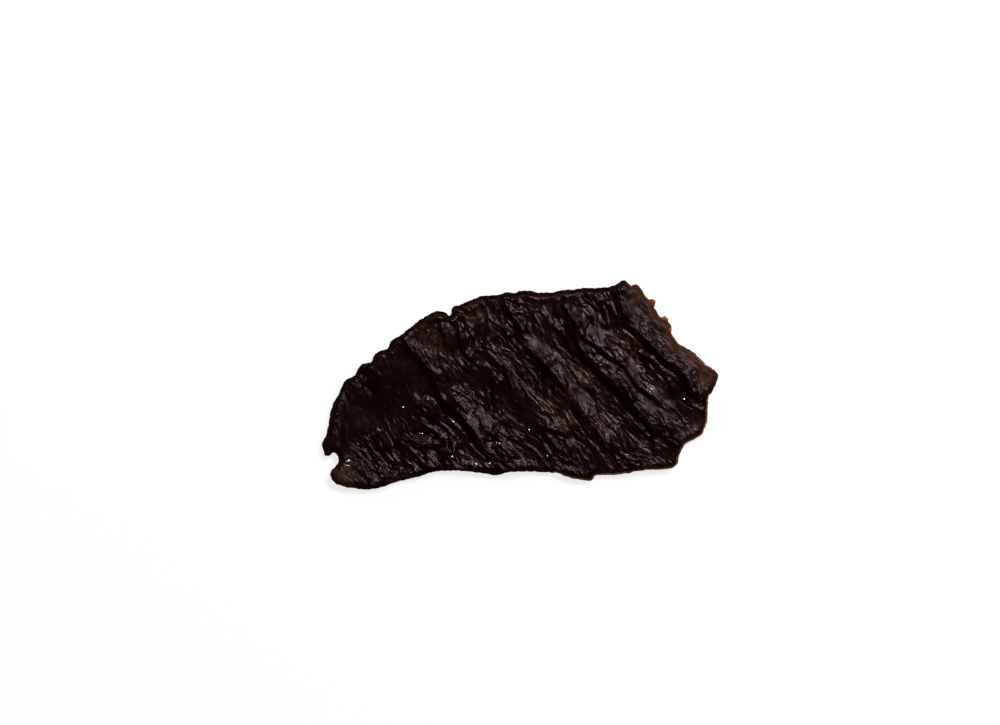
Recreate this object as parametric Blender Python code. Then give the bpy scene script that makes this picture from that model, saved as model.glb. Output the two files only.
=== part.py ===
"""A dried slab of beef liver, 120 mm long, lying on its underside with the ridged face up.

The slice dried on a wire rack. Over each wire it stayed high and its skin wrinkled, and between
the wires it sagged and stayed smooth. That left long ridges with a steep flank towards the lower
left and a gentle one towards the upper right. The underside follows with shallow grooves, and
the slab rests on the flats between them. Seen from above, +X is to the right and +Y is up.

Blender 4.5. Sizes here are in millimetres and the model is in metres.
"""

import math

import bmesh
import bpy
import numpy as np
from mathutils import Vector

MM = 0.001

# The slice
FLESH = 3.7  # thickness away from the edge
THICK_PATCHES = [(13, 1.0), (5, 0.4)]  # size of the thicker and thinner patches, and how much
RIM_HEIGHT = 1.9  # thickness left at the edge
RIM_TAPER = 2.4  # width over which the slice thins towards its edge
RIM_BULGE = 0.35  # how far the edge's middle stands out
RIM_LIFT = 0.28  # share of that thinning which is at the underside
THINNEST = 1.2  # least thickness anywhere
UNDER_SHARE = 0.75  # depth of the grooves underneath, as a share of the ridges above
UNDER_PATCHES = (6, 0.5)  # size and height of the uneven patches in those grooves
CONTACT_DEPTH = 0.12  # how much of each low stretch is pressed flat by what the slab lies on

# The corrugation left by the rack
WIRE_ANGLE = math.radians(-48)
WIRE_GAP = 12.0  # usual distance from crest to crest
STEEP = 2.8  # width of a ridge's flank on the lower left
EASE = 1.5  # how much the gentle side of a fold flattens out towards its foot
LEAN = 0.4  # width of a fold's flank on the lower left, as a share of the other flank
WANDER = (6, 0.6)  # over what distance a crest strays from its line, and how far
SPREAD_CHANGE = (8, 0.25)  # over what distance a ridge widens and narrows, and how much
HEIGHT_CHANGE = (10, 0.25)  # over what distance it rises and falls, and how much
FADE = 0.2  # share of a fold's length over which it rises from nothing at each end

# The pleats of skin that run along the ridges
PLEAT_SPACING = 3.4
PLEAT_LENGTH = 13.0
PLEAT_WIDTH = 0.2  # half width, as a share of the spacing
PLEAT_HEIGHT = 0.39
PLEAT_SWAY = (4.2, 6.5, 0.9)  # width and length of the bends that a pleat has, and how far it strays
PLEAT_BREAKS = (3.0, 5.0, 1.6)  # width and length of the shifts that cut it off, and how far they go

# The mesh
CELL_ACROSS = 1.05  # cell sizes across and along the ridges
CELL_ALONG = 2.3
RING_STEP = 1.5  # spacing of the points round the edge
LINE_STEP = 2.0  # spacing of the points on a ridge's line
SNAP = 0.4  # points closer than this are one point
EVENING_ROUNDS = 4

# The torn outline, clockwise from the tip at the upper left
UPPER_EDGE = [
    (-36.8, 14.4), (-32.2, 18.0), (-28.0, 21.2), (-24.5, 22.2), (-21.7, 20.9),
    (-20.4, 23.5), (-12.0, 26.7), (-8.0, 27.0), (-4.0, 28.3), (-1.6, 27.8),
    (3.0, 28.4), (9.5, 28.0), (12.5, 28.5), (24.5, 29.3), (28.5, 29.9), (31.7, 31.6),
]
RIGHT_END = [
    (33.5, 30.1), (35.5, 30.1), (39.0, 25.8), (40.9, 25.7), (40.7, 24.0),
    (42.6, 21.0), (43.9, 20.8), (45.6, 18.6), (46.2, 15.0), (48.5, 12.4),
    (53.6, 9.0), (59.9, 3.2), (59.7, 0.6), (57.3, -3.3), (56.9, -9.5),
    (56.6, -12.5), (53.8, -16.2), (49.8, -18.9), (47.8, -23.8), (46.4, -25.1),
]
LOWER_EDGE = [
    (43.5, -25.8), (38.5, -26.0), (30.0, -27.3), (22.7, -27.8), (22.0, -29.2),
    (16.5, -28.7), (12.0, -27.2), (-5.0, -26.9), (-7.6, -27.8), (-10.0, -27.2),
    (-25.0, -26.2), (-29.0, -27.4), (-44.0, -31.7), (-52.0, -31.9),
]
LEFT_END = [
    (-54.5, -31.1), (-57.4, -27.0), (-55.5, -24.9), (-55.1, -23.2), (-56.2, -21.2),
    (-58.8, -21.6), (-60.2, -19.0), (-57.5, -8.6), (-54.1, -1.4), (-53.0, 1.0), (-50.4, 2.4),
    (-48.2, 5.6), (-45.2, 6.6), (-43.6, 9.4), (-40.2, 10.8), (-38.9, 13.2),
]

# Ridges from right to left: the line of the crest, its heights at even steps along it, and the
# widths, at even steps too, of the side that falls gently towards the upper right
RIDGES = [
    ([(28, 35), (31, 24), (35, 18), (39.5, 13.5), (44, 9), (49.5, 4.5), (53, -2), (59.5, -6.5),
     (59, -20.5)],
     (1.2, 1.2, 1.4, 1.4, 1.3, 1.1, 0.9), (6.5, 4.5, 3.5, 4.5)),
    ([(14.5, 31.5), (15.5, 19.5), (17.5, 14.5), (20, 9), (24.5, 4.5), (30, -1), (35.5, -7.5),
     (40.5, -12.5), (57.5, -25)],
     (0.7, 1.4, 2, 2.1, 1.7, 0.6, 0.1), (10.5, 11, 11, 11)),
    ([(-9, 35.5), (-3.5, 24.5), (0.5, 17.5), (3.5, 10.5), (7.5, 6.5), (16, -4), (19.5, -10.5),
     (31, -22), (40.5, -32.5)],
     (0.9, 1.1, 1.4, 1.5, 0.9, 0.1, 0.1), (2, 6, 5.5, 6.5)),
    ([(-23.5, 33), (-15.5, 20.5), (-12, 13), (-7.5, 8), (-3, 2), (-1, -6.5), (8, -15.5), (19.5, -30)],
     (0.3, 0.3, 0.4, 0.6, 0.8, 0.7, 0.5), (3, 4.5, 9, 2.5)),
    ([(-41, 23), (-33.5, 11), (-27, 4), (-23.5, -4), (-19, -8), (-10.5, -18.5), (-4.5, -24.5),
     (3.5, -31.5)],
     (0.3, 0.7, 1.2, 1.7, 1.9, 1.7, 1.7), (6.5, 6.5, 9.5, 3.5)),
    ([(-51.5, 14.5), (-44.5, 2), (-41.5, -10), (-37.5, -17), (-31, -22), (-21.5, -35.5)],
     (0.7, 0.8, 0.8, 0.5, 0.7, 1, 0.9), (11, 11, 5, 2)),
    ([(-61.5, 10.5), (-51.5, -5.5), (-52.5, -17.5), (-48, -22), (-38.5, -38.5)],
     (2, 2.1, 2, 0.8, 0.2, 0.6, 0.7), (11, 11, 5, 8.5)),
    ([(-63.5, -2), (-53, -13.5), (-53, -21), (-46, -37)],
     (0.1, 0.1, 0.1, 0.1, 0.1, 0.1, 0.1), (6.5, 6.5, 6.5, 6.5)),
]
# Folds that follow or cross the ridges: the line, the height and the width of the gentle side
FOLDS = [
    ([(12, 23.5), (16.5, 18.5), (20, 14), (27, 10), (32, 5.5), (36.5, -0.5), (42, -5),
     (46.5, -10.5)], 0.7, 4),
    ([(13, 9), (16, 3.5), (19.5, -0.5), (23, -3.5), (24.5, -10), (29.5, -14), (32, -20.5)], 0.4, 2),
    ([(-18.5, 19.5), (-17.5, 11.5), (-13.5, 7), (-7.5, 4)], 0.9, 4),
    ([(12.5, -8.5), (16.5, -12.5), (23.5, -16.5), (29.5, -20)], 0.4, 4),
    ([(8.5, 20.5), (12, 16.5), (15, 13), (15.5, 7.5)], 0.9, 4),
    ([(35.5, -7), (40.5, -13), (41.5, -22.5)], 0.9, 4),
    ([(-16, -14), (-11.5, -19.5), (-7, -25)], 0.8, 1.5),
    ([(-23.5, -20.5), (-19, -24), (-14, -26.5), (-9.5, -29.5)], 0.8, 4),
    ([(1.5, -15.5), (7.5, -20), (11.5, -24.5), (14.5, -29.5)], 0.4, 4),
    ([(0.5, 12.5), (6.5, 9.5), (8, 2), (9, -6)], 0.6, 4),
    ([(36, 11), (42.5, 6), (46, -0.5), (48.5, -6)], 0.9, 4),
    ([(-50.5, -24), (-47.5, -27), (-44, -30), (-40.5, -33)], 0.9, 3.5),
    ([(-49.5, -21), (-46.5, -24.5), (-42.5, -28), (-39.5, -31)], 0.4, 1),
    ([(-34.5, -18.5), (-27, -18.5), (-21, -22.5)], 0.9, 4),
    ([(-33.5, -19), (-26.5, -18.5), (-22, -18.5)], 0.9, 4),
    ([(-31.5, 19), (-22, 20.5), (-18, 18)], 0.8, 4),
    ([(-24.5, 20), (-22.5, 14.5), (-21, 9.5)], 0.9, 4),
    ([(-20.5, -16), (-20, -21), (-17, -29)], 0.9, 4),
    ([(-20.5, -6.5), (-17, -10), (-13, -16)], 0.9, 4),
    ([(-6, 3.5), (-8, -3.5), (-5.5, -8)], 0.9, 4),
    ([(5.5, -12.5), (11.5, -14), (16, -16.5)], 0.9, 4),
]
# Hollows in the upper face: centre, radius and depth
HOLLOWS = [
    ((-25.3, -18.6), 2.2, 1.12),
    ((15.5, 22.5), 2.6, 1),
    ((-40, -11), 5.0, 1.12),
    ((0, -7), 4.5, 0.75),
    ((-13, 7), 1.4, 0.62),
]
# Places that dried curled up off the table: centre, radius and lift
CURLS = [((-38, 16), 26, 2.7), ((60, 4), 24, 2.1), ((46, -27), 16, 0.9), ((-58, -30), 14, 1.0)]

# Where the pleats turn away from the run of the ridges: centre, radius and turn
TWISTS = [
    ((-16, 16), 8.0, math.radians(-38)),
    ((18, 23), 5.0, math.radians(50)),
    ((52.5, -2), 5.5, math.radians(-38)),
    ((35, -23.5), 6.0, math.radians(40)),
    ((-12, 24), 5.0, math.radians(25)),
]

BROAD_TURNS = np.random.default_rng(7).uniform(0, 2 * math.pi, (64, 64))
FINE_TURNS = np.random.default_rng(11).uniform(0, 2 * math.pi, (256, 256))

LIVER_COLOUR = (0.022, 0.010, 0.007, 1.0)


def smoothstep(t):
    """Rises from 0 to 1 with level ends as t goes from 0 to 1."""
    t = np.clip(t, 0, 1)
    return t * t * (3 - 2 * t)


def gradient_noise(x, y, turns):
    """Gradient noise on a lattice of one millimetre, from about -0.7 to 0.7."""
    cells = len(turns)
    column, row = np.floor(x).astype(int), np.floor(y).astype(int)
    u, v = x - column, y - row

    def pull(right, up):
        turn = turns[(column + right) % cells, (row + up) % cells]
        return np.cos(turn) * (u - right) + np.sin(turn) * (v - up)

    su, sv = smoothstep(u), smoothstep(v)
    low = pull(0, 0) * (1 - su) + pull(1, 0) * su
    high = pull(0, 1) * (1 - su) + pull(1, 1) * su
    return low * (1 - sv) + high * sv


# Whatever is added to a place below, beside its size, picks another stretch of the same noise.
def soft_noise(x, y):
    return gradient_noise(x, y, BROAD_TURNS)


def fine_noise(x, y):
    return gradient_noise(x, y, FINE_TURNS)


def flowing_line(points, step, closed=False):
    """Points about a step apart on a smooth line through the given points, which it keeps."""
    given = np.array(points, float)
    spans = len(given) if closed else len(given) - 1
    before = np.roll(given, 1, 0)
    after = np.roll(given, -1, 0)
    if not closed:
        before[0], after[-1] = given[0], given[-1]
    headings = after - before
    headings /= np.linalg.norm(headings, axis=1)[:, None]
    line = []
    for i in range(spans):
        j = (i + 1) % len(given)
        length = np.linalg.norm(given[j] - given[i])
        pieces = max(1, round(length / step))
        for k in range(pieces):
            t = k / pieces
            ease = t * t * (3 - 2 * t)
            leave = t * (1 - t) ** 2 * length * headings[i]
            arrive = t * t * (t - 1) * length * headings[j]
            line.append(given[i] * (1 - ease) + given[j] * ease + leave + arrive)
    if not closed:
        line.append(given[-1])
    return np.array(line)


def offset_from(line, x, y, closed=False):
    """Distance of each place from a line, negative on its lower left, and the share of it passed."""
    starts = np.array(line)
    ends = np.roll(starts, -1, 0)
    if not closed:
        starts, ends = starts[:-1], ends[:-1]
    nearest = np.full(x.shape, np.inf)
    side = np.zeros(x.shape)
    passed = np.zeros(x.shape)
    for k, (a, b) in enumerate(zip(starts, ends)):
        run = b - a
        t = np.clip(((x - a[0]) * run[0] + (y - a[1]) * run[1]) / (run @ run), 0, 1)
        gap_x, gap_y = x - a[0] - t * run[0], y - a[1] - t * run[1]
        gap = np.hypot(gap_x, gap_y)
        closer = gap < nearest
        nearest[closer] = gap[closer]
        side[closer] = np.where(gap_x + gap_y < 0, -1, 1)[closer]
        passed[closer] = ((k + t) / len(starts))[closer]
    return nearest * side, passed


def fall(s, steep, gentle):
    """How far a fold has fallen at a distance from its crest: steeply below zero, and above zero
    at a slope that eases off."""
    return np.where(s < 0, smoothstep(-s / steep), 1 - (1 - np.clip(s / gentle, 0, 1)) ** EASE)


def along_line(passed, values):
    """Values that stand at even steps along a line, at the given shares of it."""
    return np.interp(passed, np.linspace(0, 1, len(values)), values)


class Flow:
    """The run of the ridges over some places: how high they stand there, and how far across and
    along them each place lies."""

    def __init__(self, x, y):
        total = np.zeros(x.shape)
        offsets = []
        for k, (crest, heights, widths) in enumerate(RIDGES):
            s, passed = offset_from(flowing_line(crest, LINE_STEP), x, y)
            size, much = WANDER
            s = s + much * soft_noise(x / size + 5 * k, y / size)
            offsets.append(s)
            size, much = SPREAD_CHANGE
            spread = 1 + much * soft_noise(x / size + 3 * k, y / size + 7)
            size, much = HEIGHT_CHANGE
            tall = along_line(passed, heights)
            tall *= 1 + much * soft_noise(x / size + 11, y / size + 4 * k)
            flank = fall(s / spread, STEEP, along_line(passed, widths))
            total += (tall * (1 - flank)) ** 3
        self.height = total ** (1 / 3)
        self.across = self.ridge_count(np.array(offsets)) * WIRE_GAP
        self.along = math.cos(WIRE_ANGLE) * x + math.sin(WIRE_ANGLE) * y
        for (cx, cy), radius, turn in TWISTS:
            self.twist(x - cx, y - cy, radius, turn)

    def ridge_count(self, offsets):
        """Counts ridges from the left, with the share of the gap passed as its fraction."""
        offsets = offsets[::-1]
        last = len(offsets) - 1
        count = np.where(offsets[0] < 0, offsets[0] / WIRE_GAP, last + offsets[last] / WIRE_GAP)
        for k in range(last):
            between = (offsets[k] >= 0) & (offsets[k + 1] < 0)
            share = offsets[k] / (offsets[k] - offsets[k + 1] + 1e-9)
            count = np.where(between, k + share, count)
        return count

    def twist(self, gap_x, gap_y, radius, turn):
        """Turns what follows the ridges about one place, less and less away from it."""
        across = -math.sin(WIRE_ANGLE) * gap_x + math.cos(WIRE_ANGLE) * gap_y
        along = math.cos(WIRE_ANGLE) * gap_x + math.sin(WIRE_ANGLE) * gap_y
        angle = turn * np.exp(-(gap_x**2 + gap_y**2) / radius**2)
        self.across += across * np.cos(angle) - along * np.sin(angle) - across
        self.along += across * np.sin(angle) + along * np.cos(angle) - along


def fold_height(x, y):
    """Height of the folds, each rising from nothing at both ends."""
    total = np.zeros(x.shape)
    for line, height, gentle in FOLDS:
        s, passed = offset_from(flowing_line(line, LINE_STEP), x, y)
        fade = smoothstep(passed / FADE) * smoothstep((1 - passed) / FADE)
        total += height * fade * (1 - fall(s, LEAN * gentle, gentle))
    return total


def pleat_height(flow):
    """Height of thin pleats that wander along the ridges, with flat skin between them."""
    a, b = flow.across + 155, flow.along
    wide, long, much = PLEAT_SWAY
    bent_a = a + much * fine_noise(a / wide, b / long + 5)
    wide, long, much = PLEAT_BREAKS
    bent_b = b + much * fine_noise(a / wide + 40, b / long)
    waves = fine_noise(bent_a / PLEAT_SPACING, bent_b / PLEAT_LENGTH + 35)
    return PLEAT_HEIGHT * np.exp(-((waves / PLEAT_WIDTH) ** 2))


def hollow_depth(x, y):
    total = np.zeros(x.shape)
    for (cx, cy), radius, depth in HOLLOWS:
        total += depth * np.exp(-((x - cx) ** 2 + (y - cy) ** 2) / radius**2)
    return total


def curl_height(x, y):
    """How far the drying slice lifted off the table."""
    total = np.zeros(x.shape)
    for (cx, cy), radius, lift in CURLS:
        total += lift * smoothstep(1 - np.hypot(x - cx, y - cy) / radius)
    return total


def slab_levels(x, y, inward):
    """Heights of the underside and the upper face at places that lie inward of the edge."""
    flow = Flow(x, y)
    rise = np.clip(inward / RIM_TAPER, 0, 1)
    fullness = np.sqrt(1 - (1 - rise) ** 2)
    flesh = FLESH + sum(much * soft_noise(x / size, y / size) for size, much in THICK_PATCHES)
    thinning = (flesh - RIM_HEIGHT) * (1 - fullness)
    size, much = UNDER_PATCHES
    low = UNDER_SHARE * flow.height + much * soft_noise(x / size, y / size) * smoothstep(flow.height)
    low += curl_height(x, y) + RIM_LIFT * thinning - CONTACT_DEPTH
    detail = fold_height(x, y) + pleat_height(flow) - hollow_depth(x, y)
    high = low + (1 - UNDER_SHARE) * flow.height + flesh - thinning + detail * fullness
    under = np.maximum(low, 0)
    return under, np.maximum(high, under + THINNEST)


def sliced_outline(ring):
    """One flat face with the slab's outline, sliced along and across the ridges into cells."""
    bm = bmesh.new()
    bm.faces.new([bm.verts.new((px * MM, py * MM, 0)) for px, py in ring])
    along = Vector((math.cos(WIRE_ANGLE), math.sin(WIRE_ANGLE), 0))
    across = Vector((-along.y, along.x, 0))
    for normal, cell in ((across, CELL_ACROSS), (along, CELL_ALONG)):
        reach = [v.co.dot(normal) for v in bm.verts]
        for k in range(math.ceil(min(reach) / (cell * MM)), math.ceil(max(reach) / (cell * MM))):
            bmesh.ops.bisect_plane(
                bm,
                geom=bm.verts[:] + bm.edges[:] + bm.faces[:],
                dist=SNAP * MM,
                plane_co=normal * (k * cell * MM),
                plane_no=normal,
            )
    bmesh.ops.remove_doubles(bm, verts=bm.verts[:], dist=SNAP * MM)
    bmesh.ops.triangulate(bm, faces=bm.faces[:])
    return bm


def even_out(bm):
    """Spreads the inner points of the flat cells, so that none is a sliver along the edge."""
    inner = [v for v in bm.verts if not v.is_boundary]
    for _ in range(EVENING_ROUNDS):
        bmesh.ops.smooth_vert(bm, verts=inner, factor=0.5, use_axis_x=True, use_axis_y=True)


def give_thickness(bm):
    """Raises a copy of the flat cells, joined to them by a wall with a row of points half way up.

    Returns the points of the underside, the wall's middle and the upper face.
    """
    made = bmesh.ops.extrude_face_region(bm, geom=bm.faces[:], use_keep_orig=True)
    raised = [g for g in made["geom"] if isinstance(g, bmesh.types.BMVert)]
    bmesh.ops.translate(bm, verts=raised, vec=(0, 0, FLESH * MM))
    uprights = [e for e in bm.edges if abs(e.verts[0].co.z - e.verts[1].co.z) > FLESH * MM / 2]
    bmesh.ops.subdivide_edges(bm, edges=uprights, cuts=1)
    levels = ([], [], [])
    for v in bm.verts:
        levels[round(2 * v.co.z / (FLESH * MM))].append(v)
    return levels


def places(verts):
    """The x and y of some points, in millimetres."""
    flat = np.array([v.co[:2] for v in verts]) / MM
    return flat[:, 0], flat[:, 1]


def shape_slab(bm, ring):
    """Moves the points of the flat solid to the slab's true heights."""
    under, middle, upper = give_thickness(bm)
    for verts, side in ((under, 0), (upper, 1)):
        x, y = places(verts)
        inward = np.abs(offset_from(ring, x, y, closed=True)[0])
        for v, z in zip(verts, slab_levels(x, y, inward)[side]):
            v.co.z = z * MM
    x, y = places(middle)
    low, high = slab_levels(x, y, np.zeros(len(x)))
    for v, z in zip(middle, (low + high) / 2):
        outward = sum((f.normal for f in v.link_faces), Vector())
        outward.z = 0
        v.co += outward.normalized() * (RIM_BULGE * MM)
        v.co.z = z * MM


def centre_on_table(bm):
    """Puts the middle of the slab's outer box over the origin, with its lowest flats at zero."""
    points = np.array([v.co for v in bm.verts])
    low, high = points.min(0), points.max(0)
    shift = Vector((-(low[0] + high[0]) / 2, -(low[1] + high[1]) / 2, -low[2]))
    bmesh.ops.translate(bm, verts=bm.verts[:], vec=shift)


def dried_liver_material():
    material = bpy.data.materials.new("dried_liver")
    material.use_nodes = True
    shader = material.node_tree.nodes["Principled BSDF"]
    shader.inputs["Base Color"].default_value = LIVER_COLOUR
    shader.inputs["Roughness"].default_value = 0.34
    shader.inputs["Metallic"].default_value = 0.0
    return material


def build_slab():
    ring = flowing_line(UPPER_EDGE + RIGHT_END + LOWER_EDGE + LEFT_END, RING_STEP, closed=True)
    bm = sliced_outline(ring)
    even_out(bm)
    bm.normal_update()
    shape_slab(bm, ring)
    bmesh.ops.recalc_face_normals(bm, faces=bm.faces[:])
    bmesh.ops.triangulate(bm, faces=bm.faces[:])
    centre_on_table(bm)
    mesh = bpy.data.meshes.new("liver_slab")
    bm.to_mesh(mesh)
    bm.free()
    slab = bpy.data.objects.new("liver_slab", mesh)
    mesh.materials.append(dried_liver_material())
    mesh.shade_smooth()
    return slab


def main():
    for old in list(bpy.data.objects):
        bpy.data.objects.remove(old)
    collection = bpy.data.collections.new("dried_beef_liver")
    bpy.context.scene.collection.children.link(collection)
    collection.objects.link(build_slab())


main()
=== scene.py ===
"""A dried slab of beef liver, dark, glossy and wrinkled, lying on a pale table.

The drying rack's wires left diagonal ridges. The skin puckered on the ridges and stayed smooth in
the low stretches between them. Sizes in the lists are millimetres, seen from above, with +X to
the right and +Y up, and zero at the middle of the slab.
"""

import math

import bmesh
import bpy
import numpy as np
from mathutils import Matrix, Vector
from mathutils.kdtree import KDTree


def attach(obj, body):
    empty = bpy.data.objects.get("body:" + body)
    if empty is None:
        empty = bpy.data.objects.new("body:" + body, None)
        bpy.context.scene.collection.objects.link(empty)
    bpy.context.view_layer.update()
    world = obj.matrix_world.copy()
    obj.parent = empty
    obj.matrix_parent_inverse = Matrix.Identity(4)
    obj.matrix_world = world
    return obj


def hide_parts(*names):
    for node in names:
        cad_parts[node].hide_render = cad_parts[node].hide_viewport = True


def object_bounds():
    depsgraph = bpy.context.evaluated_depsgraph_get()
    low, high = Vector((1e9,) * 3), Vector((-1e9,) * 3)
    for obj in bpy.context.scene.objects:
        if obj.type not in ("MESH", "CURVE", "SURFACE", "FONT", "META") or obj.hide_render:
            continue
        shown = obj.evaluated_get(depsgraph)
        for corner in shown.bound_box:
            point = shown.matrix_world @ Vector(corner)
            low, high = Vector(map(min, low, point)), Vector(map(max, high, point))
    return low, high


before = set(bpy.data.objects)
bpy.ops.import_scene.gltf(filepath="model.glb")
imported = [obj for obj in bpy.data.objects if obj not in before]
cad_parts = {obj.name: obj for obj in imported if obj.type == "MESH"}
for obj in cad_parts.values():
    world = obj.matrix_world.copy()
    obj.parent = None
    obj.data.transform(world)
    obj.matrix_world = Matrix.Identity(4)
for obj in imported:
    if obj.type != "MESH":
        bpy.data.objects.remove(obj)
cad_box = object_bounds()

MM = 0.001

# The slice
FLESH = 3.7  # thickness away from the edge
THICK_PATCHES = [(13, 1.0), (5, 0.4)]  # size of the thicker and thinner patches, and how much
RIM_HEIGHT = 1.9  # thickness left at the edge
RIM_TAPER = 2.0  # width over which the slice thins towards its edge
RIM_BULGE = 0.35  # how far the edge's middle stands out
RIM_LIFT = 0.28  # share of that thinning which is at the underside
THINNEST = 0.8  # least thickness anywhere
UNDER_SHARE = 0.75  # depth of the grooves underneath, as a share of the ridges above
UNDER_PATCHES = (6, 0.5)  # size and height of the uneven patches in those grooves
UNDER_WRINKLES = (0.2, 0.5)  # height from which the underside wrinkles, and over what rise
CONTACT_DEPTH = 0.12  # how much of each low stretch is pressed flat by what the slab lies on

# The corrugation left by the rack
WIRE_ANGLE = math.radians(-48)
WIRE_GAP = 12.0  # usual distance from crest to crest
STEEP = 2.8  # width of a ridge's flank on the lower left
EASE = 1.5  # how much the gentle side of a fold flattens out towards its foot
LEAN = 0.4  # steep side of a fold, as a share of its gentle side
WANDER = (6, 0.6)  # over what distance a crest strays from its line, and how far
SMALL_WANDER = (1.8, 0.6)  # the same for its small bends
SPREAD_CHANGE = (8, 0.25)  # over what distance a ridge widens and narrows, and how much
HEIGHT_CHANGE = (10, 0.25)  # over what distance it rises and falls, and how much

# Share of its length over which a fold, a lip or a strand rises from nothing at each end
FOLD_ENDS = 0.2
LIP_ENDS = 0.3
STRAND_ENDS = 0.15

# The mesh
CELL_ACROSS = 0.47  # cell sizes across and along the ridges
CELL_ALONG = 0.64
GRID_SPAN = 150  # side of the square of cells that the slab is cut from
LINE_STEP = 2.0  # spacing of the points on a ridge's line
EDGE_STEP = 0.1  # spacing of the points round the edge
EDGE_CLEARANCE = 0.3  # share of a cell that a point keeps from the edge
EDGE_EVENING = 3  # rounds that even out the spacing along the edge
EVENED_RINGS = 4  # rings of cells behind the edge that are evened out
EVENING_ROUNDS = 6  # how many times they are
WALL_ROWS = 2  # rows of points up the side wall, between its two borders

# The small nicks of the edge: their size and depth
NICKS = (1.3, 0.28)
SMALL_NICKS = (0.55, 0.16)

# The torn outline, clockwise from the tip at the upper left
UPPER_EDGE = [
    (-36.8, 14.4), (-34.5, 16.1), (-32.2, 18.0), (-30.0, 19.7), (-28.0, 20.9), (-26.0, 21.9),
    (-24.0, 22.2), (-22.8, 21.6), (-21.6, 20.8), (-20.7, 21.7), (-20.4, 23.3), (-18.4, 24.1),
    (-14.0, 25.9), (-12.0, 26.7), (-10.0, 26.9), (-6.0, 27.3), (-4.0, 28.1), (-1.8, 27.7),
    (0.5, 28.5), (3.0, 28.4), (6.0, 27.9), (10.0, 28.0), (12.5, 28.6), (16.0, 28.8),
    (20.0, 29.3), (24.0, 29.3), (28.0, 29.8), (30.2, 30.8), (31.7, 31.7),
]
RIGHT_END = [
    (33.2, 30.4), (34.0, 30.0), (34.8, 30.5), (36.1, 29.9), (37.2, 28.2), (39.0, 25.9),
    (40.8, 25.8), (41.0, 24.7), (40.6, 23.8), (41.2, 22.7), (42.2, 21.0), (43.3, 20.2),
    (44.2, 20.7), (44.8, 20.0), (45.0, 19.0), (45.7, 18.2), (46.0, 15.6), (47.3, 13.4),
    (49.0, 11.8), (53.0, 9.4), (56.0, 6.3), (58.0, 4.8), (59.9, 3.2), (59.7, 1.0),
    (58.4, -1.8), (57.2, -3.6), (56.9, -6.0), (56.9, -9.5), (56.4, -12.6), (55.4, -14.7),
    (54.0, -16.2), (50.8, -17.6), (49.6, -19.0), (48.4, -21.3), (47.7, -24.2), (46.4, -25.3),
]
LOWER_EDGE = [
    (44.0, -25.8), (38.5, -26.0), (34.0, -26.8), (30.0, -27.4), (26.0, -27.6), (22.7, -27.8),
    (22.1, -28.9), (21.3, -29.3), (18.0, -29.0), (14.0, -28.0), (12.0, -27.1), (8.0, -26.7),
    (0.0, -26.5), (-3.0, -26.6), (-6.0, -27.4), (-8.0, -27.6), (-11.0, -27.0), (-18.0, -26.3),
    (-24.0, -26.3), (-28.0, -27.0), (-31.0, -28.1), (-38.0, -29.8), (-43.6, -31.7),
    (-48.0, -31.9),
]
LEFT_END = [
    (-52.0, -31.5), (-56.0, -30.2), (-57.2, -28.6), (-57.4, -27.0), (-56.2, -25.5),
    (-55.1, -24.3), (-55.2, -22.5), (-56.0, -21.0), (-57.3, -20.8), (-58.9, -21.8),
    (-59.6, -20.4), (-60.1, -18.4), (-59.0, -16.0), (-58.2, -13.0), (-57.5, -8.6),
    (-56.0, -4.8), (-54.1, -1.4), (-53.0, 1.0), (-50.4, 2.4), (-48.2, 5.6), (-45.2, 6.6),
    (-43.6, 9.4), (-40.2, 10.8), (-38.9, 13.2),
]

# Ridges from right to left: the line of the crest, its heights at even steps along it, and the
# widths, at even steps too, of the side that falls gently towards the upper right
RIDGES = [
    ([(28, 34.9), (31.2, 24.2), (35.1, 18.1), (39.5, 13.4), (43.9, 8.8), (49.5, 4.3),
     (53.1, -2), (59.6, -6.4), (58.8, -20.6)],
     (1.22, 1.23, 1.39, 1.44, 1.31, 1.08, 0.86), (6.3, 4.6, 3.4, 4.6)),
    ([(14.4, 31.7), (15.4, 19.6), (17.4, 14.6), (20, 9.2), (24.3, 4.5), (29.8, -1.1),
     (35.7, -7.3), (40.5, -12.4), (57.6, -24.8)],
     (0.72, 1.37, 1.98, 2.07, 1.68, 0.63, 0.05), (10.6, 11, 11, 11)),
    ([(-9.2, 35.7), (-3.6, 24.3), (0.3, 17.3), (3.6, 10.6), (7.5, 6.6), (16.2, -3.8),
     (19.6, -10.4), (30.8, -22.2), (40.4, -32.6)],
     (0.87, 1.12, 1.39, 1.45, 0.88, 0.05, 0.05), (2, 6.1, 5.7, 6.6)),
    ([(-23.4, 32.8), (-15.3, 20.3), (-12.1, 13.1), (-7.7, 8), (-2.8, 2), (-0.8, -6.5),
     (7.9, -15.4), (19.3, -29.9)],
     (0.26, 0.28, 0.36, 0.57, 0.75, 0.68, 0.53), (2.9, 4.6, 8.8, 2.7)),
    ([(-41.2, 23.2), (-33.3, 11), (-27.2, 4), (-23.4, -4.1), (-18.9, -7.8), (-10.7, -18.6),
     (-4.3, -24.4), (3.6, -31.7)],
     (0.34, 0.68, 1.17, 1.66, 1.87, 1.72, 1.7), (6.4, 6.5, 9.3, 3.3)),
    ([(-51.6, 14.5), (-44.4, 1.9), (-41.3, -9.9), (-37.3, -16.9), (-31, -21.8), (-21.4, -35.3)],
     (0.73, 0.81, 0.83, 0.52, 0.74, 0.97, 0.91), (11, 11, 5, 2)),
    ([(-61.5, 10.5), (-51.6, -5.6), (-52.6, -17.3), (-48.1, -21.9), (-38.6, -38.3)],
     (2.04, 2.1, 2.02, 0.79, 0.25, 0.59, 0.7), (11, 11, 4.9, 8.4)),
    ([(-63.7, -1.9), (-53, -13.3), (-53.1, -21.2), (-46.2, -37.2)],
     (0.05, 0.05, 0.05, 0.1, 0.05, 0.07, 0.11), (6.6, 6.5, 6.7, 6.7)),
]
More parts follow.
